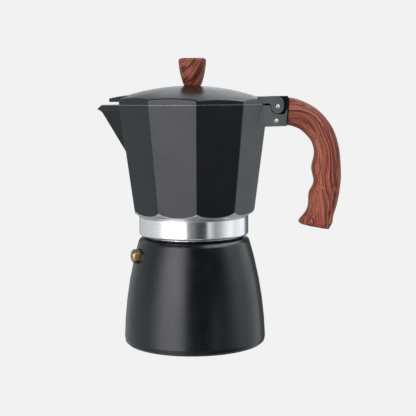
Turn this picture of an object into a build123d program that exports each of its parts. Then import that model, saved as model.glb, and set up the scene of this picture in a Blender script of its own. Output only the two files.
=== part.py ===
from build123d import *
import os
from math import cos, radians, sin, sqrt, tan

# A stovetop moka pot, in millimetres. Origin at the centre of the base, +Z up,
# spout towards -X, handle towards +X.

# Driving dimensions ---------------------------------------------------------
FACETS = 10                # flats round the collector and the lid
WALL = 2.6                 # cast wall

BASE_R = 49.55             # boiler, widest
FOOT_Z = 4.0               # where the base's rounding meets the wall
BULGE = (46.6, 37.0)       # (radius, height) halfway up the boiler's wall
SHOULDER = (37.95, 74.6)
SHOULDER_ROUND = 4.8
NECK_R = 33.4              # root of the neck's thread
NECK_BORE_R = 31.0
NECK_TOP = 86.0
LEAD = 4.0                 # rise per turn of the thread
THREAD_DEPTH = 1.2
THREAD_Z = (76.2, 83.6)    # where the neck's thread starts and ends

COLLAR_R = 38.15
COLLAR_BORE_R = 35.2
COLLAR_Z = (76.1, 89.5)
COLLAR_THREAD = (0.9, 5.6)  # depth and length of the collar's ridge
SPIGOT_R = 36.2            # collector's ring inside the collar
SPIGOT_BORE_R = 33.9
SPIGOT_Z = 85.0

SEAT_Z = 90.0              # gasket seat under the collector's floor
FLOOR_Z = 92.8             # collector's floor, inside
FOOT_ARC = ((37.4, 89.6), (41.4, 91.7), (44.6, 97.5))  # turned foot of the collector
RIM_Z = 166.6
RIM_R = 53.2               # to the corners of the ten-sided rim
FLARE = 0.1355             # corner radius gained per millimetre of height
CORNER_R = 1.8
RIM_BEVEL = (1.0, 0.30)    # height and depth of the slope round the rim

SPOUT_BASE_Z = 133.6
SPOUT_HALF_ANGLE = 42.0
SPOUT_NOSE_R = 2.0
SPOUT_WALL = 2.2
RIDGE_SLOPE = 0.581        # how far the spout's ridge leans out per millimetre up
LIP_START = 161.1          # height where the ridge begins to curl
LIP_CURL = 1.8
LIP_TIP = (-65.9, 163.7)
LIP_TOP = (-62.7, RIM_Z)

HINGE = (56.9, 164.45)     # X and Z of the lid's pin
HANDLE_PIN = (55.85, 154.8)
PIN_R = 1.5
PIN_CLEARANCE = 0.06
LUG_Z = (151.0, 165.4)
LUG_TOP = 171.6
LUG_CORE = 9.5             # half width between the lid's ears
LUG_END_X = 65.3
LUG_END_HALF = 11.7
TAPER = 0.54               # how fast lug and ears narrow towards the handle
LUG_LEAN = 0.097           # end face's lean from the vertical
SWEEP_R = 7.2              # room for the ear's corner as it turns
KNUCKLE_R = 4.7
KNUCKLE_GAP = 0.4

LID_Z = 166.7
DOME_X = -2.8              # the dome is fuller towards the spout
DOME_TOP = 179.25
DOME_R = 146.0
DOME_FLAT = 178.8          # seat sunk into the dome for the knob's spacer
LID_SKIN = 2.0
LID_ROUND = 1.2
TONGUE_TIP = -57.6         # lid's tongue over the spout
TONGUE_Z = 168.5
TONGUE_DOME = (-25.4, 174.5)  # X and top of the sphere that shapes the tongue
EAR_CORE = 9.8
EAR_HALF = 14.0
EAR_TOP = 171.4
EAR_BOTTOM = 165.9
EAR_ROUND = 4.5
LID_NOTCH_X = 48.6

KNOB_FOOT_Z = 179.3
KNOB_TOP = 198.0
SCREW_R = 1.9
SPACER_R = 5.3
INSERT_R = 3.4
INSERT_TOP = 188.0

VALVE_Z = 62.9
VALVE_AZIMUTH = 72.0       # from the front towards the spout
VALVE_SEAT = 40.6          # distances out from the pot's axis
VALVE_WASHER = 41.4
VALVE_CROWN = 45.4
VALVE_NOSE = 45.9
VALVE_HEX = 8.6            # across the flats
VALVE_WASHER_R = 4.8
VALVE_BOSS_R = 5.2
VALVE_SHANK_R = 3.9
VALVE_CHAMBER_R = 2.6
VALVE_PIN_R = 1.05

GRIP_HALF_WIDTH = 10.4
TONGUE_HALF = 1.3


def corner_radius(z):
    """Corner radius of the ten-sided body at a height."""
    return RIM_R - FLARE * (RIM_Z - z)


def apothem(z):
    return corner_radius(z) * cos(radians(180 / FACETS))


def decagon(radius, z, corner=CORNER_R):
    """Ten-sided face with rounded corners, one corner towards the front."""
    outline = Rot(Z=-90) * RegularPolygon(radius, FACETS)
    return Pos(Z=z) * fillet(outline.vertices(), corner)


def turned(*points):
    """Solid of revolution from a closed outline of (radius, height) points."""
    outline = Plane.XZ * make_face(Polyline(*points, close=True))
    return revolve(outline, Axis.Z)


def tube(r_out, r_in, z0, z1):
    return Pos(Z=z0) * extrude(Circle(r_out) - Circle(r_in), z1 - z0)


def rod(radius, z0, z1):
    return Pos(Z=z0) * extrude(Circle(radius), z1 - z0)


def side_profile(points, half_width):
    """Prism with an outline in X and Z, the same distance to either side."""
    outline = Plane.XZ * make_face(Polyline(*points, close=True))
    return extrude(outline, half_width, both=True)


def cross_pin(centre, radius, half_length):
    """Round bar along Y through an (X, Z) centre."""
    circle = Plane.XZ * (Pos(*centre) * Circle(radius))
    return extrude(circle, half_length, both=True)


def helical_ridge(root_r, depth, base, z0, z1):
    """Thread ridge that stands depth proud of root_r (inwards if depth is negative)."""
    sink = 0.35 if depth > 0 else -0.35
    path = Helix(LEAD, z1 - z0, root_r)
    section = Plane(origin=path @ 0, x_dir=(1, 0, 0), z_dir=path % 0) * make_face(
        Polyline((-sink, -base / 2), (depth, -base / 4), (depth, base / 4),
                 (-sink, base / 2), close=True)
    )
    return Pos(Z=z0) * sweep(section, path, is_frenet=True)


def perforated_disc(radius, z0, z1, rings, spacing, hole_r):
    """Disc with rings of holes, six more in each ring than in the last."""
    face = Circle(radius)
    for ring in range(1, rings + 1):
        face -= PolarLocations(ring * spacing, 6 * ring) * Circle(hole_r)
    return Pos(Z=z0) * extrude(face - Circle(hole_r), z1 - z0)


# Boiler ---------------------------------------------------------------------
VALVE_PLANE = Plane(
    origin=(0, 0, VALVE_Z),
    x_dir=(0, 0, 1),
    z_dir=(-sin(radians(VALVE_AZIMUTH)), -cos(radians(VALVE_AZIMUTH)), 0),
)


def boiler():
    top = SHOULDER[1]
    inner_top = (36.0, top - 6.5)
    inner_foot = (46.4, 7.0)
    side = ThreePointArc((BASE_R, FOOT_Z), BULGE, SHOULDER)
    neck = Polyline(SHOULDER, (NECK_R, top), (NECK_R, NECK_TOP), (NECK_BORE_R, NECK_TOP),
                    (NECK_BORE_R, top - 4), inner_top)
    inside = ThreePointArc(inner_top, (BULGE[0] - WALL - 0.3, BULGE[1]), inner_foot)
    base = Polyline(inner_foot, (43.0, 3.0), (0, 3.0), (0, 0), (47.6, 0), (49.1, 1.4),
                    (BASE_R, FOOT_Z))
    body = revolve(Plane.XZ * make_face([side, neck, inside, base]), Axis.Z)
    rim = body.edges().filter_by(GeomType.CIRCLE).filter_by(
        lambda e: abs(e.radius - SHOULDER[0]) < 0.2 and abs(e.center().Z - top) < 0.1)
    body = fillet(rim, SHOULDER_ROUND)
    body -= tube(39.4, 38.0, -0.1, 0.6)
    boss = VALVE_PLANE * rod(VALVE_BOSS_R, 35.6, VALVE_SEAT)
    body = body + boss - VALVE_PLANE * rod(VALVE_BOSS_R, VALVE_SEAT, 50)
    body -= VALVE_PLANE * rod(VALVE_SHANK_R, 30, 50)
    return body + helical_ridge(NECK_R, THREAD_DEPTH, 1.8, *THREAD_Z)


def safety_valve_body():
    hexagon = Pos(Z=VALVE_WASHER) * extrude(
        RegularPolygon(VALVE_HEX / 2, 6, major_radius=False), VALVE_CROWN - VALVE_WASHER)
    crown = turned((0, 40), (4.9, 40), (4.9, VALVE_CROWN - 0.8), (4.1, VALVE_CROWN),
                   (0, VALVE_CROWN))
    nose = turned((0, VALVE_CROWN - 0.2), (3.6, VALVE_CROWN - 0.2), (3.2, VALVE_NOSE),
                  (0, VALVE_NOSE))
    shank = rod(VALVE_SHANK_R, 33.5, VALVE_WASHER + 0.1)
    body = (hexagon & crown) + nose + shank
    body -= rod(VALVE_PIN_R + 0.07, 30, 50) + rod(VALVE_CHAMBER_R, 33.0, 42.4)
    return VALVE_PLANE * body


def safety_valve_washer():
    return VALVE_PLANE * tube(VALVE_WASHER_R, VALVE_SHANK_R, VALVE_SEAT, VALVE_WASHER)


def safety_valve_seat():
    return VALVE_PLANE * tube(VALVE_CHAMBER_R, 1.3, 33.5, 34.5)


def safety_valve_pin():
    head = rod(2.4, 34.6, 36.2)
    end = VALVE_NOSE - 0.3
    shaft = turned((0, 36.1), (VALVE_PIN_R, 36.1), (VALVE_PIN_R, end - 0.4), (0.8, end), (0, end))
    return VALVE_PLANE * (head + shaft)


def safety_valve_spring():
    coil_r = 1.85
    wire_r = 0.25
    bottom = 36.6
    path = Helix(1.2, 5.5, coil_r)
    section = Plane(origin=path @ 0, z_dir=path % 0) * Circle(wire_r)
    return VALVE_PLANE * (Pos(Z=bottom) * sweep(section, path, is_frenet=True))


# Coffee basket --------------------------------------------------------------
def funnel():
    return turned(
        (33.2, 86.05), (33.2, 87.0), (29.4, 87.0), (29.4, 62.0), (4.0, 56.0), (4.0, 8.0),
        (5.0, 8.0), (5.0, 55.2), (30.4, 61.2), (30.4, 86.05),
    )


def funnel_strainer():
    return perforated_disc(29.3, 62.1, 62.9, rings=6, spacing=4.3, hole_r=0.8)


def filter_plate():
    return perforated_disc(30.6, 88.6, 89.3, rings=6, spacing=4.5, hole_r=0.8)


def gasket():
    ring = tube(33.6, 29.4, 87.15, SEAT_Z)
    return ring - rod(30.6, 88.6, 89.3)


# Collector ------------------------------------------------------------------
def spout_section(z, nose_x, inset):
    """Horizontal V-shaped face with a rounded nose, open end well inside the pot."""
    half = radians(SPOUT_HALF_ANGLE)
    nose_r = max(SPOUT_NOSE_R - inset, 0.6)
    apex = nose_x + inset - nose_r * (1 / sin(half) - 1)
    centre = apex + nose_r / sin(half)
    touch = (centre - nose_r * sin(half), nose_r * cos(half))
    back = -44.5
    half_width = (back - apex) * tan(half)
    outline = [
        Line((back, -half_width), (touch[0], -touch[1])),
        ThreePointArc((touch[0], -touch[1]), (nose_x + inset, 0), touch),
        Line(touch, (back, half_width)),
        Line((back, half_width), (back, -half_width)),
    ]
    return Pos(Z=z) * make_face(outline)


def ridge_x(z):
    """X of the spout's ridge, straight up to the lip and then curling out to its tip."""
    straight = -apothem(SPOUT_BASE_Z) - RIDGE_SLOPE * (z - SPOUT_BASE_Z)
    reach = LIP_TIP[0] + apothem(SPOUT_BASE_Z) + RIDGE_SLOPE * (LIP_TIP[1] - SPOUT_BASE_Z)
    curl = min(max((z - LIP_START) / (LIP_TIP[1] - LIP_START), 0), 1)
    return straight + reach * curl ** LIP_CURL if z < LIP_TIP[1] else LIP_TIP[0]


def spout_solid(inset, z_base, z_top):
    heights = [z_base, LIP_START, 161.8, 162.3, 162.8, 163.2, LIP_TIP[1], z_top]
    return loft([spout_section(z, ridge_x(z), inset) for z in heights], ruled=True)


def lug_plan(end_half, end_x, z0, z1, inner_x=40.0):
    """Block that narrows from the pot's wall to the handle."""
    wide = end_half + TAPER * (end_x - inner_x)
    outline = make_face(Polyline((inner_x, -wide), (end_x, -end_half), (end_x, end_half),
                                 (inner_x, wide), close=True))
    return Pos(Z=z0) * extrude(outline, z1 - z0)


def lug():
    low, high = LUG_Z
    lean = LUG_LEAN * (LUG_TOP - low)
    block = lug_plan(LUG_END_HALF, LUG_END_X, low, LUG_TOP)
    side = side_profile([(40, low), (LUG_END_X - lean, low), (LUG_END_X, LUG_TOP),
                         (53.4, LUG_TOP), (51.0, 168.6), (51.0, high), (40, high)], 30)
    block &= side
    x, z = HINGE
    ear_room = Plane.XZ * (
        Pos(x, z) * Circle(KNUCKLE_R + KNUCKLE_GAP)
        + (Pos(x, z) * Circle(SWEEP_R) & Pos(x + 6, z + 0.6) * Rectangle(12, 11.8))
        + Pos(x + 6, z + 5) * Rectangle(12, 14)
        + Pos(x - 5, high + 5) * Rectangle(22, 10)
    )
    pocket = extrude(ear_room, 30, both=True)
    core = Pos(x, 0, z) * Box(40, 2 * LUG_CORE, 60)
    return block - (pocket - core)


def collector():
    bevel_z = RIM_Z - RIM_BEVEL[0]
    outer = loft([decagon(corner_radius(80), 80), decagon(corner_radius(bevel_z), bevel_z),
                  decagon(corner_radius(bevel_z) - RIM_BEVEL[1], RIM_Z)], ruled=True)
    start, _, end = FOOT_ARC
    foot = make_face([ThreePointArc(*FOOT_ARC),
                      Polyline(end, (60, end[1]), (60, RIM_Z + 1), (0, RIM_Z + 1), (0, start[1]),
                               start)])
    outer &= revolve(Plane.XZ * foot, Axis.Z)
    outer += spout_solid(0, SPOUT_BASE_Z - 1.5, RIM_Z)
    lip_cut = side_profile([LIP_TOP, LIP_TIP, (-75, LIP_TIP[1] - 2), (-75, 175),
                            (LIP_TOP[0], 175)], 30)
    outer -= lip_cut
    outer += lug()
    cavity_low = corner_radius(80) - WALL / cos(radians(180 / FACETS))
    cavity_high = corner_radius(RIM_Z + 3.4) - WALL / cos(radians(180 / FACETS))
    cavity = loft([decagon(cavity_low, 80), decagon(cavity_high, RIM_Z + 3.4)], ruled=True)
    cavity &= turned((0, FLOOR_Z), (36.0, FLOOR_Z), (43.0, 98.4), (60, 112), (60, 175), (0, 175))
    outer -= cavity
    outer -= spout_solid(SPOUT_WALL, SPOUT_BASE_Z + 5, RIM_Z + 2)
    outer -= Pos(44, 0, RIM_Z + 10) * Box(13.6, 60, 20)
    spigot = tube(SPIGOT_R, SPIGOT_BORE_R, SPIGOT_Z, SEAT_Z + 1)
    outer += spigot
    outer -= rod(SPIGOT_BORE_R, 80, SEAT_Z)
    outer -= rod(6.5, 80, 100)
    outer -= cross_pin(HINGE, PIN_R, 30) + cross_pin(HANDLE_PIN, PIN_R, 30)
    slot = side_profile([(52.0, 152.0), (75, 152.0), (75, 168.8), (52.0, 168.8)], TONGUE_HALF + 0.1)
    return outer - slot


def threaded_collar():
    low, high = COLLAR_Z
    ring = turned((COLLAR_BORE_R, low), (37.2, low), (37.9, low + 0.6), (COLLAR_R, low + 1.3),
                  (COLLAR_R, high - 0.9), (37.5, high), (SPIGOT_R, high), (SPIGOT_R, SPIGOT_Z - 0.1),
                  (COLLAR_BORE_R, SPIGOT_Z - 0.1))
    # Half a turn out of step with the neck's ridge, so that the two never touch.
    start = THREAD_Z[0] + LEAD / 2
    depth, length = COLLAR_THREAD
    return ring + helical_ridge(COLLAR_BORE_R, -depth, 1.5, start, start + length)


def coffee_column():
    tapered = turned((3.5, SEAT_Z - 0.3), (6.5, SEAT_Z - 0.3), (6.5, FLOOR_Z), (7.6, FLOOR_Z),
                     (7.6, FLOOR_Z + 1.5), (5.6, 142.0), (5.6, 144.6), (3.6, 146.4), (0, 146.4),
                     (0, 143.6), (3.5, 143.6))
    outlets = Pos(0, 0, 140.0) * Box(20, 3.0, 5.0)
    return tapered - outlets


def hinge_pin():
    return cross_pin_domed(HINGE, 17.3)


def handle_pin():
    return cross_pin_domed(HANDLE_PIN, 17.6)


def cross_pin_domed(centre, half_length):
    bar = cross_pin(centre, PIN_R, half_length)
    return fillet(bar.edges().filter_by(GeomType.CIRCLE), 0.9)


# Lid ------------------------------------------------------------------------
def dome(x, top, radius, z_base):
    """Everything under a spherical cap, down to a base height."""
    ball = Pos(X=x, Z=top - radius) * Sphere(radius)
    return ball & (Pos(Z=z_base) * extrude(Circle(90), 40))


def ears():
    """Two arms from the lid to the pin, tapering with the lug they straddle."""
    x, z = HINGE
    end = x + KNUCKLE_R
    arm = Plane.XZ * make_face(Polyline(
        (43.5, LID_Z), (51.2, LID_Z), (51.2, EAR_BOTTOM), (end, EAR_BOTTOM), (end, EAR_TOP),
        (43.5, EAR_TOP), close=True))
    corner = arm.vertices().sort_by(lambda v: v.X + v.Z)[-1]
    arm = fillet(corner, EAR_ROUND) + Plane.XZ * (Pos(x, z) * Circle(KNUCKLE_R))
    plates = extrude(arm, 30, both=True) & lug_plan(EAR_HALF, end, 150, 180, inner_x=43.0)
    return plates - Pos(x, 0, z) * Box(60, 2 * EAR_CORE, 60)


def lid():
    flats = extrude(decagon(RIM_R, LID_Z), 20)
    body = flats & dome(DOME_X, DOME_TOP, DOME_R, LID_Z)
    arches = body.faces().sort_by(Axis.Z)[-1].edges()
    body = fillet(arches, LID_ROUND)
    tongue = extrude(spout_section(TONGUE_Z, TONGUE_TIP, 0), 8)
    tongue_x, tongue_top = TONGUE_DOME
    body += tongue & dome(tongue_x, tongue_top, DOME_R, TONGUE_Z)
    body += ears()
    inner = decagon(RIM_R - WALL / cos(radians(180 / FACETS)), LID_Z - 1)
    body -= extrude(inner, 20) & dome(DOME_X, DOME_TOP - LID_SKIN, DOME_R - LID_SKIN, LID_Z - 1)
    body -= Pos(LID_NOTCH_X + 5, 0, LID_Z + 5) * Box(10, 2 * EAR_CORE, 14)
    body -= rod(SPACER_R + 0.1, DOME_FLAT, DOME_FLAT + 5) + rod(SCREW_R + 0.2, 150, 190)
    return body - cross_pin(HINGE, PIN_R + PIN_CLEARANCE, 30)


def knob():
    side = ThreePointArc((5.9, KNOB_FOOT_Z), (8.1, 186.2), (9.5, 196.0))
    edge = ThreePointArc((9.5, 196.0), (9.0, 197.5), (7.6, KNOB_TOP))
    rest = Polyline((7.6, KNOB_TOP), (0, KNOB_TOP), (0, KNOB_FOOT_Z), (5.9, KNOB_FOOT_Z))
    body = revolve(Plane.XZ * make_face([side, edge, rest]), Axis.Z)
    return body - rod(INSERT_R, KNOB_FOOT_Z - 1, INSERT_TOP)


def knob_insert():
    return tube(INSERT_R, SCREW_R, KNOB_FOOT_Z, INSERT_TOP)


def knob_spacer():
    return tube(SPACER_R, SCREW_R + 0.2, DOME_FLAT, KNOB_FOOT_Z)


def knob_washer():
    return tube(4.6, SCREW_R, 175.6, 176.4)


def knob_screw():
    head = turned((0, 173.4), (2.6, 173.4), (3.6, 174.3), (3.6, 175.6), (0, 175.6))
    slot = Pos(0, 0, 173.4) * Box(10, 0.8, 1.6)
    return head - slot + rod(SCREW_R, 175.5, 186.5)


# Handle ---------------------------------------------------------------------
# Outer and inner edge of the grip, station by station from lug to tip (X, Z).
GRIP = [
    ((66.4, 170.5), (64.5, 151.0)),
    ((69.4, 170.2), (68.0, 151.0)),
    ((75.2, 168.4), (72.6, 149.5)),
    ((83.6, 164.2), (77.3, 146.6)),
    ((89.7, 159.2), (80.4, 143.5)),
    ((95.7, 151.6), (83.5, 139.5)),
    ((99.6, 143.2), (85.1, 134.8)),
    ((101.9, 134.2), (85.1, 129.6)),
    ((102.9, 126.6), (83.6, 124.0)),
    ((103.3, 119.6), (83.5, 119.0)),
    ((103.2, 113.6), (84.8, 113.8)),
    ((102.6, 107.4), (83.7, 108.0)),
    ((101.9, 101.6), (81.2, 102.2)),
    ((100.8, 96.8), (81.1, 96.6)),
    ((99.7, 92.6), (80.3, 92.4)),
    ((98.4, 88.6), (78.2, 88.9)),
    ((97.8, 85.3), (75.6, 86.1)),
    ((97.1, 81.9), (74.1, 83.3)),
]
GRIP_END = ((95.0, 78.1), (75.1, 82.2))


def grip_section(outer, inner, half_width, corner_share=0.40):
    """Rounded rectangle across the grip, between its outer and inner edges."""
    (x0, z0), (x1, z1) = outer, inner
    span = sqrt((x0 - x1) ** 2 + (z0 - z1) ** 2)
    across = ((x0 - x1) / span, 0, (z0 - z1) / span)
    plane = Plane(origin=((x0 + x1) / 2, 0, (z0 + z1) / 2), x_dir=across,
                  z_dir=(across[2], 0, -across[0]))
    corner = corner_share * min(span, 2 * half_width)
    return plane * RectangleRounded(span, 2 * half_width, corner)


def handle():
    sections = [grip_section(outer, inner, GRIP_HALF_WIDTH) for outer, inner in GRIP]
    grip = loft(sections)
    tip = loft([grip_section(*GRIP[-1], GRIP_HALF_WIDTH),
                grip_section(*GRIP_END, GRIP_HALF_WIDTH - 1.6)])
    body = grip + tip
    return body - handle_tongue()


def handle_tongue():
    strap = side_profile([(53.0, 152.3), (74.0, 152.3), (78.5, 155.0), (76.5, 163.5), (66.0, 167.4),
                          (53.0, 167.4)], TONGUE_HALF)
    return strap - cross_pin(HINGE, PIN_R, 5) - cross_pin(HANDLE_PIN, PIN_R, 5)


PARTS = [
    boiler, safety_valve_body, safety_valve_washer, safety_valve_seat, safety_valve_pin,
    safety_valve_spring, funnel, funnel_strainer, filter_plate, gasket, collector,
    threaded_collar, coffee_column, hinge_pin, handle_pin, handle_tongue, handle, lid,
    knob, knob_insert, knob_spacer, knob_washer, knob_screw,
]

os.makedirs("parts", exist_ok=True)
for make in PARTS:
    export_step(make(), f"parts/{make.__name__}.step")
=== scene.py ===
from math import cos, pi, radians, sin

import bpy
from mathutils import Matrix, Vector

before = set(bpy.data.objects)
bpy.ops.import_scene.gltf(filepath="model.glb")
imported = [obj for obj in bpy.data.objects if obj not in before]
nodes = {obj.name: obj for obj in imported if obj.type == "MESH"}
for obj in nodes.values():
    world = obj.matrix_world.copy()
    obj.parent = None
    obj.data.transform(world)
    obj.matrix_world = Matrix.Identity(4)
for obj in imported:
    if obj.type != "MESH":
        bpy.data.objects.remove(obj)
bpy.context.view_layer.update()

MM = 0.001

# Shape facts the finishes need, in metres, in the part's own frame
NECK_SHOULDER_Z = 0.0750     # the boiler's threaded neck starts here
NECK_RADIUS = 0.0368
BOILER_FLOOR_TOP = 0.010     # the boiler's inside floor lies below this
COLLECTOR_BASE_Z = 0.0897    # the collector is bare below this
COLLECTOR_FLOOR_Z = 0.0915   # its inside wall starts here
COLLECTOR_FLOOR_TOP = 0.099  # its inside floor lies below this
FOOT_ARC = ((37.4, 89.6), (41.4, 91.7), (44.6, 97.5))  # turned foot, radius and height in mm
FOOT_TOP = 0.0980
FOOT_SKIN = 0.00012          # how far off the arc a point of the foot may lie
LUG_START_X = 0.0490         # the collector's lug for the hinge lies past this
RIM_EDGE_Z, RIM_TOP = 0.16618, 0.1668
RIM_HIGHLIGHT_SHARE = 0.30              # how far the rim's top edge is mixed toward bare metal: a painted highlight, the light line along the lid seam
LID_INNER_RADIUS = 0.0505

# Limits on a normal, for surfaces that face a certain way
INWARD = -0.05               # the part that points out from the pot's axis is less than this
UPWARD, STEEP_UPWARD = 0.2, 0.5   # z is more than this
DOWNWARD = -0.15             # z is less than this

SPAN = (0.3, 0.7)            # most of a noise's values lie in here


# Node helpers -----------------------------------------------------------------
class Tree:
    """A material or world node tree that is filled from code."""

    def __init__(self, owner):
        owner.use_nodes = True
        self.tree = owner.node_tree
        self.tree.nodes.clear()

    def add(self, kind, inputs=None, **settings):
        made = self.tree.nodes.new(kind)
        for key, value in settings.items():
            setattr(made, key, value)
        for key, value in (inputs or {}).items():
            self.put(made.inputs[key], value)
        return made

    def put(self, socket, value):
        if isinstance(value, bpy.types.NodeSocket):
            self.tree.links.new(value, socket)
        else:
            socket.default_value = value

    def math(self, operation, a, b=None, c=None):
        made = self.add("ShaderNodeMath", operation=operation)
        for index, value in enumerate((a, b, c)):
            if value is not None:
                self.put(made.inputs[index], value)
        return made.outputs[0]

    def length(self, a, b):
        """Length of the flat vector (a, b)."""
        return self.math("SQRT", self.math("ADD", self.math("MULTIPLY", a, a),
                                           self.math("MULTIPLY", b, b)))

    def between(self, value, low, high, out_low=0.0, out_high=1.0):
        """Value moved smoothly from one range to another and held inside it."""
        made = self.add("ShaderNodeMapRange", interpolation_type="SMOOTHSTEP", clamp=True)
        for index, item in enumerate((value, low, high, out_low, out_high)):
            self.put(made.inputs[index], item)
        return made.outputs[0]

    def ramp(self, value, stops):
        """Colour from a value, through (position, colour) stops."""
        made = self.add("ShaderNodeValToRGB")
        elements = made.color_ramp.elements
        while len(elements) > 1:
            elements.remove(elements[-1])
        for index, (position, colour) in enumerate(stops):
            item = elements[0] if index == 0 else elements.new(position)
            item.position = position
            item.color = colour if len(colour) == 4 else (*colour, 1)
        self.put(made.inputs[0], value)
        return made.outputs["Color"]

    def mix(self, factor, a, b, blend="MIX"):
        """Mix of two colours; the node keeps its colour sockets at these numbers."""
        first, second, result = 6, 7, 2
        made = self.add("ShaderNodeMix", data_type="RGBA", blend_type=blend)
        self.put(made.inputs[0], factor)
        self.put(made.inputs[first], a)
        self.put(made.inputs[second], b)
        return made.outputs[result]

    def noise(self, vector, scale, detail=3.0, roughness=0.5):
        made = self.add("ShaderNodeTexNoise", {
            "Vector": vector, "Scale": scale, "Detail": detail, "Roughness": roughness})
        return made.outputs["Fac"]

    def split(self, vector):
        made = self.add("ShaderNodeSeparateXYZ", {"Vector": vector})
        return made.outputs[0], made.outputs[1], made.outputs[2]

    def join(self, x, y, z):
        made = self.add("ShaderNodeCombineXYZ")
        for index, item in enumerate((x, y, z)):
            self.put(made.inputs[index], item)
        return made.outputs[0]

    def dot(self, vector, axis):
        made = self.add("ShaderNodeVectorMath", {0: vector, 1: axis}, operation="DOT_PRODUCT")
        return made.outputs["Value"]

    def bump(self, height, strength, distance):
        made = self.add("ShaderNodeBump", {"Strength": strength, "Distance": distance,
                                           "Height": height})
        return made.outputs[0]


def darker(tint, share):
    """A colour times a share, with its alpha."""
    return (*(share * c for c in tint), 1)


def principled(t, **inputs):
    shader = t.add("ShaderNodeBsdfPrincipled", inputs)
    t.add("ShaderNodeOutputMaterial", {"Surface": shader.outputs[0]})


def coords(t):
    """Place, normal, the place's x, y and z, and its radius from the pot's axis."""
    where = t.add("ShaderNodeTexCoord")
    place, normal = where.outputs["Object"], where.outputs["Normal"]
    x, y, z = t.split(place)
    return place, normal, x, y, z, t.length(x, y)


def facing_axis(t, normal, x, y, radius):
    """1 where a surface faces the pot's axis, 0 where it faces out."""
    nx, ny, _ = t.split(normal)
    dot = t.math("ADD", t.math("MULTIPLY", nx, x), t.math("MULTIPLY", ny, y))
    not_zero = t.math("MAXIMUM", radius, 1e-4)
    return t.math("LESS_THAN", t.math("DIVIDE", dot, not_zero), INWARD)


# Black coat, with the bare casting where the real pot is left uncoated, and a painted highlight of
# part-bare metal on the collector's rim edge ------------
def bare_collector(t, normal, x, y, z, radius):
    """1 inside, below the base and on the turned foot, and part of 1 on the rim's edge, where it
    paints a highlight line.
    """
    inward = facing_axis(t, normal, x, y, radius)
    ahead = t.math("LESS_THAN", x, LUG_START_X)
    above = t.math("GREATER_THAN", z, COLLECTOR_FLOOR_Z)
    wall = t.math("MULTIPLY", inward, t.math("MULTIPLY", ahead, above))
    floor = t.math("MULTIPLY", t.math("GREATER_THAN", t.split(normal)[2], UPWARD),
                   t.math("LESS_THAN", z, COLLECTOR_FLOOR_TOP))
    below = t.math("LESS_THAN", z, COLLECTOR_BASE_Z)
    foot = on_foot(t, z, radius)
    bare = t.math("MAXIMUM", t.math("MAXIMUM", wall, floor), t.math("MAXIMUM", below, foot))
    # The rim's top edge is mixed partway toward bare metal to paint a highlight: the light line
    # along the lid seam.
    edge = t.math("MULTIPLY", t.math("GREATER_THAN", z, RIM_EDGE_Z),
                  t.math("LESS_THAN", z, RIM_TOP))
    edge = t.math("MULTIPLY", edge, ahead)
    return t.math("MAXIMUM", bare, t.math("MULTIPLY", edge, RIM_HIGHLIGHT_SHARE))


def on_foot(t, z, radius):
    """1 on the collector's foot, which a lathe has cut back to bright metal."""
    (r0, z0), (r1, z1), (r2, z2) = FOOT_ARC
    det = 2 * ((r1 - r0) * (z2 - z0) - (r2 - r0) * (z1 - z0))
    chord1 = (r1 - r0) ** 2 + (z1 - z0) ** 2
    chord2 = (r2 - r0) ** 2 + (z2 - z0) ** 2
    across = ((z2 - z0) * chord1 - (z1 - z0) * chord2) / det
    up = ((r1 - r0) * chord2 - (r2 - r0) * chord1) / det
    arc_r = (across ** 2 + up ** 2) ** 0.5
    dr = t.math("SUBTRACT", radius, (r0 + across) * MM)
    dz = t.math("SUBTRACT", z, (z0 + up) * MM)
    off = t.math("ABSOLUTE", t.math("SUBTRACT", t.length(dr, dz), arc_r * MM))
    on_arc = t.math("LESS_THAN", off, FOOT_SKIN)
    return t.math("MULTIPLY", on_arc, t.math("LESS_THAN", z, FOOT_TOP))


def bare_boiler(t, normal, x, y, z, radius):
    """1 inside and on the threaded neck."""
    inward = facing_axis(t, normal, x, y, radius)
    neck = t.math("MULTIPLY", t.math("GREATER_THAN", z, NECK_SHOULDER_Z),
                  t.math("LESS_THAN", radius, NECK_RADIUS))
    floor = t.math("MULTIPLY", t.math("GREATER_THAN", t.split(normal)[2], STEEP_UPWARD),
                   t.math("LESS_THAN", z, BOILER_FLOOR_TOP))
    return t.math("MAXIMUM", t.math("MAXIMUM", inward, neck), floor)


def bare_lid(t, normal, x, y, z, radius):
    """1 on the hollow underside."""
    under = t.math("LESS_THAN", t.split(normal)[2], DOWNWARD)
    inner = t.math("LESS_THAN", radius, LID_INNER_RADIUS)
    inward = facing_axis(t, normal, x, y, radius)
    return t.math("MULTIPLY", inner, t.math("MAXIMUM", under, inward))


COAT_ROUGH = 0.25
COAT_TINT = (0.93, 1.0, 1.02, 1)
CAST_ROUGH = (0.34, 0.50)


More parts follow.
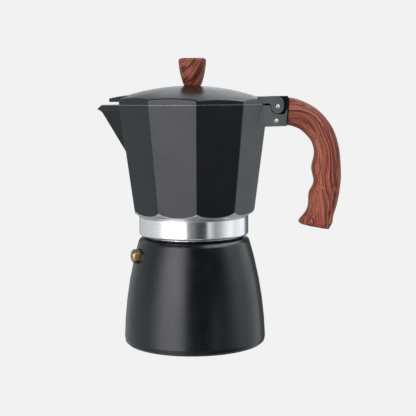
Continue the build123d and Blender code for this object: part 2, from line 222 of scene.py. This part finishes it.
def coat(name, bare):
    """Satin black coat over cast metal, which shows where the mask bare() says so."""
    t = Tree(bpy.data.materials.new(name))
    place, normal, x, y, z, radius = coords(t)
    is_bare = bare(t, normal, x, y, z, radius)

    cloud = t.noise(place, 38.0, 4.0)
    speck = t.noise(place, 2600.0, 2.0)
    black = t.ramp(t.math("ADD", t.math("MULTIPLY", cloud, 0.7), t.math("MULTIPLY", speck, 0.3)), [
        (0.30, (0.0018, 0.0021, 0.0024)), (0.52, (0.0028, 0.0032, 0.0036)),
        (0.75, (0.0042, 0.0048, 0.0054))])
    casting = t.ramp(t.noise(place, 420.0, 5.0, 0.65), [
        (0.30, (0.50, 0.51, 0.52)), (0.55, (0.66, 0.67, 0.68)), (0.75, (0.76, 0.77, 0.78))])

    smear = t.between(t.noise(place, 55.0, 3.0, 0.6), 0.35, 0.70, -0.025, 0.035)
    coat_rough = t.math("ADD", t.math("ADD", smear, COAT_ROUGH),
                        t.math("MULTIPLY", speck, 0.03))
    cast_rough = t.between(t.noise(place, 300.0, 3.0), *SPAN, *CAST_ROUGH)

    orange_peel = t.noise(place, 1500.0, 2.0, 0.45)
    pits = t.noise(place, 900.0, 4.0, 0.6)
    height = t.mix(is_bare, orange_peel, pits)

    coated = t.math("SUBTRACT", 1.0, is_bare)
    roughness = t.math("ADD", t.math("MULTIPLY", is_bare, cast_rough),
                       t.math("MULTIPLY", coated, coat_rough))
    principled(t, **{"Base Color": t.mix(is_bare, black, casting), "Metallic": is_bare,
                     "Roughness": roughness, "IOR": 1.5, "Specular Tint": COAT_TINT,
                     "Normal": t.bump(height, 0.18, 0.06 * MM)})
    return bpy.data.materials[name]


# Metals ------------------------------------------------------------------------
def turned_metal(name, tint, rough, along, line_scale=5200.0, depth=0.03 * MM):
    """Metal cut on a lathe: fine rings across the turning axis, with a slight uneven polish."""
    t = Tree(bpy.data.materials.new(name))
    place, _, x, y, _, _ = coords(t)
    round_about = 0.02       # rings change this much slower round the axis than along it
    ring_place = t.join(t.dot(place, along), t.math("MULTIPLY", x, round_about),
                        t.math("MULTIPLY", y, round_about))
    rings = t.noise(ring_place, line_scale, 3.0, 0.7)
    patches = t.noise(place, 90.0, 3.0)
    colour = t.mix(t.between(rings, *SPAN), darker(tint, 0.86), (*tint, 1))
    roughness = t.math("ADD", t.between(rings, *SPAN, rough - 0.04, rough + 0.05),
                       t.between(patches, *SPAN, -0.02, 0.03))
    principled(t, **{"Base Color": colour, "Metallic": 1.0, "Roughness": roughness,
                     "Normal": t.bump(rings, 0.25, depth)})
    return bpy.data.materials[name]


def cast_metal(name, tint, rough):
    """Sand-cast or stamped aluminium, left as it came."""
    t = Tree(bpy.data.materials.new(name))
    place = coords(t)[0]
    grain = t.noise(place, 700.0, 5.0, 0.65)
    stain = t.noise(place, 60.0, 3.0)
    colour = t.mix(t.between(grain, *SPAN), darker(tint, 0.72), (*tint, 1))
    roughness = t.math("ADD", t.between(grain, *SPAN, rough - 0.06, rough + 0.08),
                       t.between(stain, *SPAN, -0.04, 0.04))
    principled(t, **{"Base Color": colour, "Metallic": 1.0, "Roughness": roughness,
                     "Normal": t.bump(grain, 0.30, 0.06 * MM)})
    return bpy.data.materials[name]


def moulded(name, tint, rough, grain_scale, depth):
    """Rubber, fibre or plastic with a fine moulded grain."""
    t = Tree(bpy.data.materials.new(name))
    place = coords(t)[0]
    grain = t.noise(place, grain_scale, 4.0, 0.6)
    colour = t.mix(t.between(grain, *SPAN), darker(tint, 0.78), (*tint, 1))
    patches = t.noise(place, grain_scale / 6, 3.0)
    roughness = t.between(patches, *SPAN, rough - 0.07, rough + 0.07)
    principled(t, **{"Base Color": colour, "Roughness": roughness,
                     "Normal": t.bump(grain, 0.35, depth)})
    return bpy.data.materials[name]


# Wood ----------------------------------------------------------------------------
DRIFT = -0.48                # which slice of the slow sway is used
SWAY = 13.0                  # its size in mm
WOOD_TONES = ((0.36, (0.120, 0.027, 0.0160)), (0.45, (0.290, 0.070, 0.0400)),
              (0.53, (0.430, 0.120, 0.0720)), (0.64, (0.600, 0.215, 0.1350)))
WOOD_DARK = (0.034, 0.0110, 0.0080)

GRIP_BEND = (0.066, 0.132)   # x and z that the grip bends round, metres
BEND_RADIUS = 28.0           # mm of grain to a radian of the bend
OUTER_STREAKS = (16.0, 32.0, 0.50, 1.0)    # across from, across to, density from, density to
LOWER_STREAKS = (-44.0, -30.0, 0.75, 0.0)  # the same, along the grip
THROUGH = 4.5                # how much faster the grain changes through the grip than a knob
FRONT_FACE = 8.0             # mm ahead of the middle, where THROUGH changes nothing

KNOB_LEAN, KNOB_SIDE = radians(32), 0.35
KNOB_DENSITY, KNOB_TONE = 0.9, 0.76


def rosewood(name, across, along, depth, density, t, tone=1.0):
    """Reddish brown wood: dark wavy streaks, a soft figure and fine pores along the grain.

    across, along and depth are sockets in millimetres; density says how thick the streaks lie."""
    def stretched(a, b, c, detail, roughness):
        """Noise with its own frequency, per mm, in each of the three directions."""
        place = t.join(t.math("MULTIPLY", bent, a), t.math("MULTIPLY", along, b),
                       t.math("MULTIPLY", depth, c))
        return t.noise(place, 1.0, detail, roughness)

    slow = t.join(t.math("MULTIPLY", across, 0.05), t.math("MULTIPLY", along, 0.024), DRIFT)
    sway = t.math("MULTIPLY", t.math("SUBTRACT", t.noise(slow, 1.0, 1.0), 0.5), SWAY)
    bent = t.math("ADD", across, sway)

    figure = stretched(0.26, 0.012, 0.055, 3.0, 0.55)
    fine = stretched(1.5, 0.05, 0.30, 3.0, 0.6)
    fleck = stretched(2.6, 0.90, 1.4, 3.0, 0.65)
    crest = t.math("ABSOLUTE", t.math("SUBTRACT", stretched(0.52, 0.006, 0.10, 1.0, 0.40), 0.5))
    vein = t.between(crest, 0.012, 0.050, 1.0, 0.0)
    broad = t.between(stretched(0.80, 0.009, 0.18, 1.0, 0.4), 0.55, 0.62)
    thin = t.between(stretched(2.1, 0.022, 0.50, 2.0, 0.5), 0.53, 0.62)
    streak = t.math("MAXIMUM", t.math("MAXIMUM", vein, broad), t.math("MULTIPLY", thin, 0.75))
    streak = t.math("MULTIPLY", streak, density)
    pores = t.between(stretched(4.2, 0.26, 1.6, 2.0, 0.5), 0.58, 0.70)

    blend = t.math("ADD", t.math("MULTIPLY", figure, 0.36),
                   t.math("ADD", t.math("MULTIPLY", fine, 0.28), t.math("MULTIPLY", fleck, 0.36)))
    body = t.ramp(blend, [(at, darker(colour, tone)) for at, colour in WOOD_TONES])
    dark = darker(WOOD_DARK, tone)
    colour = t.mix(t.math("MULTIPLY", streak, 0.90), body, dark)
    colour = t.mix(t.math("MULTIPLY", pores, 0.45), colour, dark)
    sunk = t.math("ADD", t.math("MULTIPLY", pores, 0.6), t.math("MULTIPLY", streak, 0.25))
    height = t.math("SUBTRACT", t.math("MULTIPLY", fine, 0.4), sunk)
    roughness = t.math("ADD", t.between(fine, *SPAN, 0.50, 0.60),
                       t.math("MULTIPLY", pores, 0.10))
    principled(t, **{"Base Color": colour, "Roughness": roughness, "IOR": 1.45,
                     "Specular IOR Level": 0.28, "Normal": t.bump(height, 0.28, 0.12 * MM)})
    return bpy.data.materials[name]


def handle_wood():
    """Grain that runs round the bend of the grip and then straight down it."""
    name = "handle_wood"
    t = Tree(bpy.data.materials.new(name))
    x, y, z = t.split(t.add("ShaderNodeTexCoord").outputs["Object"])
    bend_x, bend_z = GRIP_BEND
    right = t.math("MULTIPLY", t.math("SUBTRACT", x, bend_x), 1 / MM)
    up = t.math("MULTIPLY", t.math("SUBTRACT", z, bend_z), 1 / MM)
    over = t.math("MAXIMUM", up, 0.0)
    across = t.length(right, over)
    turn = t.math("ARCTAN2", over, right)
    along = t.math("ADD", t.math("MULTIPLY", turn, BEND_RADIUS), t.math("MINIMUM", up, 0.0))
    density = t.math("MAXIMUM", t.between(across, *OUTER_STREAKS),
                     t.between(along, *LOWER_STREAKS))
    depth = t.math("MULTIPLY_ADD", y, THROUGH / MM, (THROUGH - 1) * FRONT_FACE)
    return rosewood(name, across, along, depth, density, t)


def knob_wood():
    """Grain that leans across the knob."""
    name = "knob_wood"
    t = Tree(bpy.data.materials.new(name))
    place = t.add("ShaderNodeTexCoord").outputs["Object"]
    across = t.dot(place, (cos(KNOB_LEAN), KNOB_SIDE, -sin(KNOB_LEAN)))
    along = t.dot(place, (sin(KNOB_LEAN), 0.0, cos(KNOB_LEAN)))
    depth = t.split(place)[1]
    in_mm = [t.math("MULTIPLY", item, 1 / MM) for item in (across, along, depth)]
    return rosewood(name, *in_mm, KNOB_DENSITY, t, KNOB_TONE)


# Finishes on the CAD nodes ---------------------------------------------------------
# The axis that each turned piece was cut round
UP = (0.0, 0.0, 1.0)
SIDEWAYS = (0.0, 1.0, 0.0)
VALVE_AZIMUTH = radians(72)
VALVE_OUT = (-sin(VALVE_AZIMUTH), -cos(VALVE_AZIMUTH), 0.0)
PIN_LINES = 9000.0           # finer rings than on larger pieces

cast = cast_metal("cast_aluminium", (0.72, 0.73, 0.74), 0.40)
valve_brass = turned_metal("valve_brass", (0.50, 0.36, 0.20), 0.30, VALVE_OUT)
pin_steel = turned_metal("pin_steel", (0.86, 0.86, 0.86), 0.46, SIDEWAYS, PIN_LINES)
wood_handle, wood_knob = handle_wood(), knob_wood()

finishes = {
    "boiler": coat("boiler_coat", bare_boiler),
    "collector": coat("collector_coat", bare_collector),
    "lid": coat("lid_coat", bare_lid),
    "threaded_collar": turned_metal("collar_metal", (0.90, 0.90, 0.91), 0.15, UP),
    "safety_valve_body": valve_brass,
    "safety_valve_seat": valve_brass,
    "safety_valve_pin": valve_brass,
    "knob_insert": turned_metal("insert_brass", (0.78, 0.60, 0.33), 0.28, UP),
    "safety_valve_spring": cast_metal("spring_steel", (0.55, 0.55, 0.56), 0.30),
    "safety_valve_washer": moulded("washer_fibre", (0.060, 0.045, 0.035), 0.70, 1800.0, 0.08 * MM),
    "funnel": cast,
    "funnel_strainer": cast,
    "filter_plate": cast,
    "coffee_column": cast,
    "gasket": moulded("gasket_silicone", (0.80, 0.80, 0.77), 0.55, 900.0, 0.04 * MM),
    "hinge_pin": pin_steel,
    "handle_pin": pin_steel,
    "handle_tongue": cast_metal("tongue_steel", (0.60, 0.60, 0.61), 0.32),
    "knob_washer": pin_steel,
    "knob_screw": turned_metal("screw_steel", (0.78, 0.78, 0.77), 0.24, UP, PIN_LINES),
    "knob_spacer": moulded("spacer_plastic", (0.018, 0.018, 0.019), 0.50, 1500.0, 0.04 * MM),
    "handle": wood_handle,
    "knob": wood_knob,
}
for name, material in finishes.items():
    mesh = nodes[name].data
    mesh.materials.clear()
    mesh.materials.append(material)

# The pot's facets show none of the handle's red brown in the photograph
nodes["handle"].visible_glossy = False

# Floor and backdrop, seen only by the camera ------------------------------------------
PAPER = 0.887
FLOOR_HALF = 3.0
FLOOR_Z = -0.0003
BACKDROP_R = 6.0
STEPS, ROWS = 32, 12         # the backdrop's faces round and up


def paper(name):
    """Plain pale paper that glows evenly, with a very faint mottle."""
    t = Tree(bpy.data.materials.new(name))
    place = t.add("ShaderNodeTexCoord").outputs["Object"]
    low, high = SPAN
    white = (PAPER, PAPER, PAPER)
    tint = t.ramp(t.noise(place, 40.0, 2.0), [(low, darker(white, 0.998)), (high, white)])
    glow = t.add("ShaderNodeEmission", {"Color": tint, "Strength": 1.0})
    t.add("ShaderNodeOutputMaterial", {"Surface": glow.outputs[0]})
    return bpy.data.materials[name]


def staged(name, verts, faces):
    """Paper that the camera sees and that neither lights nor shades the pot."""
    mesh = bpy.data.meshes.new(name)
    mesh.from_pydata(verts, [], faces)
    made = bpy.data.objects.new(name, mesh)
    bpy.context.scene.collection.objects.link(made)
    for ray in ("diffuse", "glossy", "transmission", "volume_scatter", "shadow"):
        setattr(made, f"visible_{ray}", False)
    made.data.materials.append(paper_white)


paper_white = paper("paper_white")
corners = ((-1, -1), (1, -1), (1, 1), (-1, 1))
staged("floor", [(i * FLOOR_HALF, j * FLOOR_HALF, FLOOR_Z) for i, j in corners], [(0, 1, 2, 3)])


def on_ball(i, j):
    """A point of the round backdrop: i counts round it and j from bottom to top."""
    turn, rise = 2 * pi * i / STEPS, pi * (j / ROWS - 0.5)
    return (BACKDROP_R * cos(turn) * cos(rise), BACKDROP_R * sin(turn) * cos(rise),
            BACKDROP_R * sin(rise))


def ball_index(i, j):
    return j * STEPS + i % STEPS


ball_points = [on_ball(i, j) for j in range(ROWS + 1) for i in range(STEPS)]
ball_faces = [(ball_index(i, j), ball_index(i + 1, j), ball_index(i + 1, j + 1),
               ball_index(i, j + 1)) for j in range(ROWS) for i in range(STEPS)]
staged("backdrop", ball_points, ball_faces)

# Studio light: soft panels all round, as bands of brightness by compass direction --------
# (degrees from the front, positive to the right; brightness)
HIGH_PANELS = [
    (-180, 1.10), (-177, 1.05), (-172, 0.20), (-160, 0.20), (-154, 0.60), (-100, 0.58),
    (-86, 0.50), (-70, 1.20), (-58, 3.10), (-38, 3.80), (-24, 3.00), (-14, 0.05), (42, 0.05),
    (56, 0.28), (70, 1.05), (84, 1.20), (94, 1.00), (104, 1.40), (122, 1.45), (132, 0.12),
    (162, 0.12), (169, 1.25), (175, 1.15), (180, 1.10)]
LOW_PANELS = [
    (-180, 0.50), (-176, 0.50), (-172, 0.10), (-168, 0.10), (-162, 0.55), (-100, 0.70),
    (-86, 0.78), (-74, 1.00), (-60, 2.60), (-40, 3.00), (-23, 2.60), (-17, 0.28), (-4, 0.20),
    (6, 0.07), (23, 0.05), (27, 0.95), (42, 0.34), (54, 0.50), (72, 1.05), (82, 1.15),
    (90, 0.86), (104, 0.95), (118, 1.15), (128, 1.00), (136, 0.14), (162, 0.14), (168, 0.60),
    (180, 0.50)]
BRIGHTEST = 4.5              # a ramp holds colours up to 1, so it is filled in shares of this
LIGHT_TINT = (0.975, 1.0, 1.03, 1)
TOP_LIGHT = (0.10, 0.10, 0.10, 1)
UNDER_LIGHT = (0.45, 0.45, 0.45, 1)
SHADE = (0.190, 0.190, 0.190, 1)   # dark card low on the right
OVERHEAD = (4.2, 4.2, 4.2, 1)      # softbox high over the handle

# Elevations in degrees where one light gives way to the next
LOW_TO_HIGH = (-1, 6)
HIGH_TO_TOP = (34, 54)
UNDER_TO_LOW = (-44, -15)
NO_SHADE_TO_SHADE = (-10, -15)
# Compass degrees over which the shade comes in and goes out again
SHADE_IN, SHADE_OUT = (12.0, 20.0), (60.0, 105.0)
# Parts of a direction, along x and z, over which the overhead light comes in
OVERHEAD_X, OVERHEAD_Z = (0.15, 0.40), (0.50, 0.70)
FALLING = (1.0, 0.0)         # a share that starts whole and ends at nothing
# Red as a share of green and blue: in the dark, more for each step of brightness, at most
RED_DARK, RED_RISE, RED_MOST = 0.92, 0.06, 1.10


def panel_colour(v):
    """Red falls away in a dim panel and rises a little in a bright one."""
    red = v * min(RED_DARK + RED_RISE * v, RED_MOST)
    return (red / BRIGHTEST, v / BRIGHTEST, v / BRIGHTEST)


def compass_band(t, turn, panels):
    """Light from all round, read from (degrees, brightness) stops."""
    band = t.ramp(turn, [(a / 360 + 0.5, panel_colour(v)) for a, v in panels])
    made = t.add("ShaderNodeVectorMath", {0: band, "Scale": BRIGHTEST}, operation="SCALE")
    return made.outputs[0]


def by_elevation(t, height, limits, out=(0.0, 1.0)):
    """A share that changes between two elevations, where height is a direction's z."""
    low, high = (sin(radians(item)) for item in limits)
    return t.between(height, low, high, *out)


world = bpy.data.worlds.new("studio")
bpy.context.scene.world = world
t = Tree(world)
wx, wy, wz = t.split(t.add("ShaderNodeTexCoord").outputs["Generated"])
compass = t.math("ARCTAN2", wx, t.math("MULTIPLY", wy, -1.0))
turn = t.math("MULTIPLY_ADD", compass, 1 / (2 * pi), 0.5)
light = t.mix(by_elevation(t, wz, LOW_TO_HIGH),
              compass_band(t, turn, LOW_PANELS), compass_band(t, turn, HIGH_PANELS))
light = t.mix(by_elevation(t, wz, HIGH_TO_TOP), light, TOP_LIGHT)
light = t.mix(by_elevation(t, wz, UNDER_TO_LOW, FALLING), light, UNDER_LIGHT)
degrees_round = t.math("MULTIPLY", compass, 180 / pi)
shade = t.math("MULTIPLY", t.between(degrees_round, *SHADE_IN),
               t.between(degrees_round, *SHADE_OUT, *FALLING))
shade = t.math("MULTIPLY", shade, by_elevation(t, wz, NO_SHADE_TO_SHADE))
light = t.mix(shade, light, SHADE)
overhead = t.math("MULTIPLY", t.between(wx, *OVERHEAD_X), t.between(wz, *OVERHEAD_Z))
light = t.mix(overhead, light, OVERHEAD)
light = t.mix(1.0, light, LIGHT_TINT, "MULTIPLY")
glow = t.add("ShaderNodeBackground", {"Color": light, "Strength": 1.0})
t.add("ShaderNodeOutputWorld", {"Surface": glow.outputs[0]})

# Small soft lamp beside the hinge ------------------------------------------------------
HINGE_SPOT = Vector((0.060, -0.014, 0.161))
LAMP_TURN = radians(59.6)    # from the front towards the handle
LAMP_TILT = -0.03
LAMP_AWAY = 0.13
LAMP_SIZE = 0.048
LAMP_POWER = 0.0162          # watts
lamp = bpy.data.objects.new("hinge_lamp", bpy.data.lights.new("hinge_lamp", "AREA"))
bpy.context.scene.collection.objects.link(lamp)
lamp.visible_camera = False
lamp.data.size = LAMP_SIZE
lamp.data.energy = LAMP_POWER
lamp_way = Vector((sin(LAMP_TURN), -cos(LAMP_TURN), LAMP_TILT))
lamp.location = HINGE_SPOT + lamp_way * LAMP_AWAY
lamp.rotation_euler = lamp_way.to_track_quat("Z", "Y").to_euler()

# Camera ------------------------------------------------------------------------------
CAMERA_DISTANCE = 0.72125
CAMERA_HEIGHT = 0.1733
CAMERA_AZIMUTH = radians(-2.77)
CAMERA_PITCH = radians(6.2706)
CAMERA_ROLL = radians(0.511)
CAMERA_YAW = radians(-0.7897)
LENS = 89.682                # mm
SENSOR = 36.0
CLIP_START, CLIP_END = 0.01, 20.0

toward = Vector((-sin(CAMERA_AZIMUTH), cos(CAMERA_AZIMUTH), 0))
right = Vector((cos(CAMERA_AZIMUTH), sin(CAMERA_AZIMUTH), 0))
forward = toward * cos(CAMERA_YAW) - right * sin(CAMERA_YAW)
side_axis = right * cos(CAMERA_YAW) + toward * sin(CAMERA_YAW)
look = forward * cos(CAMERA_PITCH) - Vector((0, 0, 1)) * sin(CAMERA_PITCH)
up = side_axis.cross(look)
rolled_right = side_axis * cos(CAMERA_ROLL) - up * sin(CAMERA_ROLL)
rolled_up = up * cos(CAMERA_ROLL) + side_axis * sin(CAMERA_ROLL)

camera = bpy.data.objects.new("camera", bpy.data.cameras.new("camera"))
bpy.context.scene.collection.objects.link(camera)
camera.data.lens = LENS
camera.data.sensor_width = SENSOR
camera.data.clip_start = CLIP_START
camera.data.clip_end = CLIP_END
spot = -toward * CAMERA_DISTANCE + Vector((0, 0, CAMERA_HEIGHT))
turned_to = Matrix((rolled_right, rolled_up, -look)).transposed()
camera.matrix_world = Matrix.Translation(spot) @ turned_to.to_4x4()
bpy.context.scene.camera = camera
bpy.context.scene.view_settings.view_transform = "Standard"
